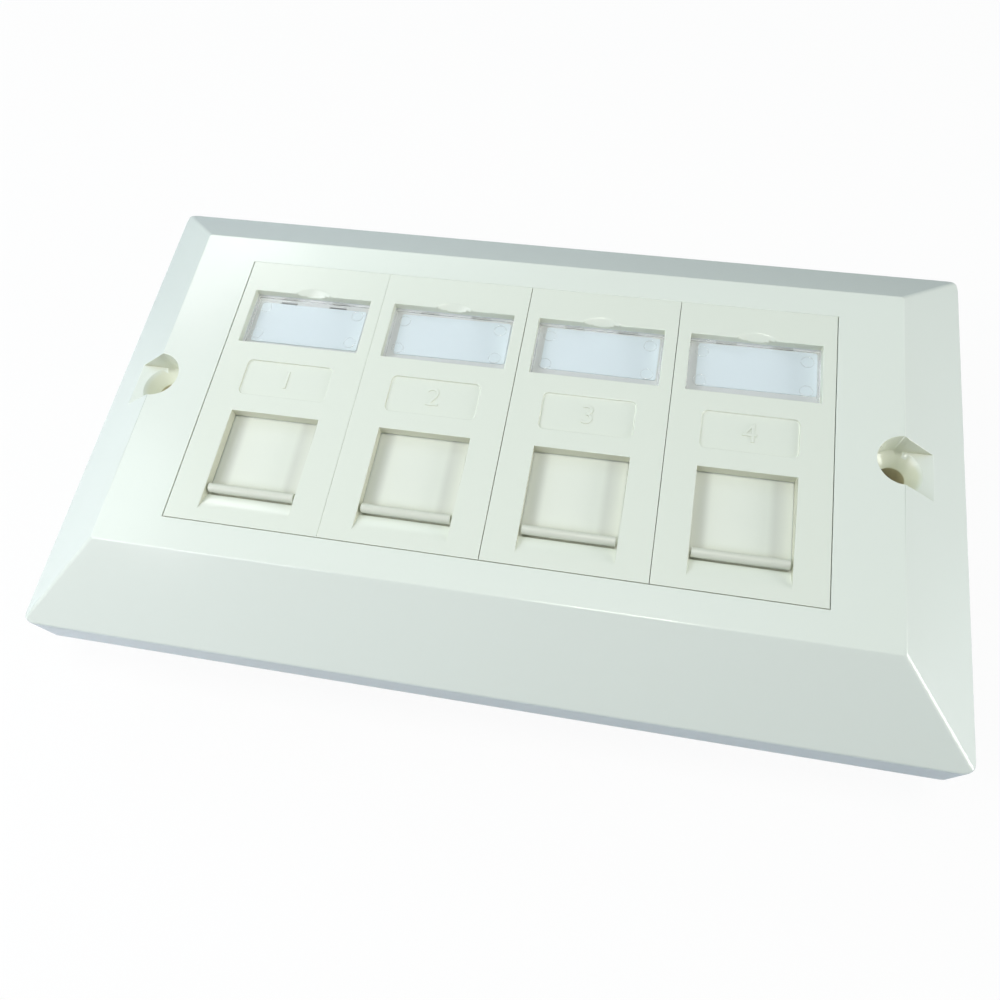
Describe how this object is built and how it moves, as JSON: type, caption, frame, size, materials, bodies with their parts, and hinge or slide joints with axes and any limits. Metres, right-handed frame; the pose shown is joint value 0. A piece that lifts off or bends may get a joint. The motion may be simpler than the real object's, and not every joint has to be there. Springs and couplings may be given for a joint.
{
  "type": "keystone faceplate",
  "caption": "Bevelled wall faceplate with a row of flush inserts, each with a clear label window and a sprung sliding shutter over a keystone network jack.",
  "frame": {"origin": "centre of the back rim, midway between the two fixing holes", "axes": "+X along the long side, +Y from the jacks towards the label windows, +Z out of the face"},
  "size_m": [0.146, 0.086, 0.0304],
  "materials": {
    "plate_plastic": "glossy moulded white",
    "module_plastic": "glossy moulded warm white",
    "shutter_plastic": "satin moulded warm white",
    "spring_steel": "drawn wire",
    "clear_acrylic": "polished clear",
    "label_card": "plain card",
    "jack_plastic": "satin moulded white",
    "gold_contacts": "gold plated",
    "circuit_board": "lacquered board",
    "idc_plastic": "moulded off-white",
    "tinned_blades": "tin plated",
    "cap_plastic": "moulded pale grey"
  },
  "bodies": {
    "plate": {"faceplate": "plate_plastic", "module_frame_1": "module_plastic", "jack_carrier_1": "module_plastic", "shutter_spring_1": "spring_steel", "label_window_1": "clear_acrylic", "label_card_1": "label_card", "jack_housing_1": "jack_plastic", "jack_contacts_1": "gold_contacts", "circuit_board_1": "circuit_board", "idc_block_1": "idc_plastic", "idc_blades_1": "tinned_blades", "dust_cap_1": "cap_plastic", "module_frame_2": "module_plastic", "jack_carrier_2": "module_plastic", "shutter_spring_2": "spring_steel", "label_window_2": "clear_acrylic", "label_card_2": "label_card", "jack_housing_2": "jack_plastic", "jack_contacts_2": "gold_contacts", "circuit_board_2": "circuit_board", "idc_block_2": "idc_plastic", "idc_blades_2": "tinned_blades", "dust_cap_2": "cap_plastic", "module_frame_3": "module_plastic", "jack_carrier_3": "module_plastic", "shutter_spring_3": "spring_steel", "label_window_3": "clear_acrylic", "label_card_3": "label_card", "jack_housing_3": "jack_plastic", "jack_contacts_3": "gold_contacts", "circuit_board_3": "circuit_board", "idc_block_3": "idc_plastic", "idc_blades_3": "tinned_blades", "dust_cap_3": "cap_plastic", "module_frame_4": "module_plastic", "jack_carrier_4": "module_plastic", "shutter_spring_4": "spring_steel", "label_window_4": "clear_acrylic", "label_card_4": "label_card", "jack_housing_4": "jack_plastic", "jack_contacts_4": "gold_contacts", "circuit_board_4": "circuit_board", "idc_block_4": "idc_plastic", "idc_blades_4": "tinned_blades", "dust_cap_4": "cap_plastic"},
    "shutter_1": {"shutter_1": "shutter_plastic"},
    "shutter_2": {"shutter_2": "shutter_plastic"},
    "shutter_3": {"shutter_3": "shutter_plastic"},
    "shutter_4": {"shutter_4": "shutter_plastic"}
  },
  "joints": [
    {"name": "shutter_slide_1", "type": "slide", "parent": "plate", "child": "shutter_1", "axis": [0, 1, 0], "range_m": [0, 0.0112], "stiffness_N_per_m": 30, "springref_m": -0.004, "deforming": ["shutter_spring_1"]},
    {"name": "shutter_slide_2", "type": "slide", "parent": "plate", "child": "shutter_2", "axis": [0, 1, 0], "range_m": [0, 0.0112], "stiffness_N_per_m": 30, "springref_m": -0.004, "deforming": ["shutter_spring_2"]},
    {"name": "shutter_slide_3", "type": "slide", "parent": "plate", "child": "shutter_3", "axis": [0, 1, 0], "range_m": [0, 0.0112], "stiffness_N_per_m": 30, "springref_m": -0.004, "deforming": ["shutter_spring_3"]},
    {"name": "shutter_slide_4", "type": "slide", "parent": "plate", "child": "shutter_4", "axis": [0, 1, 0], "range_m": [0, 0.0112], "stiffness_N_per_m": 30, "springref_m": -0.004, "deforming": ["shutter_spring_4"]}
  ]
}
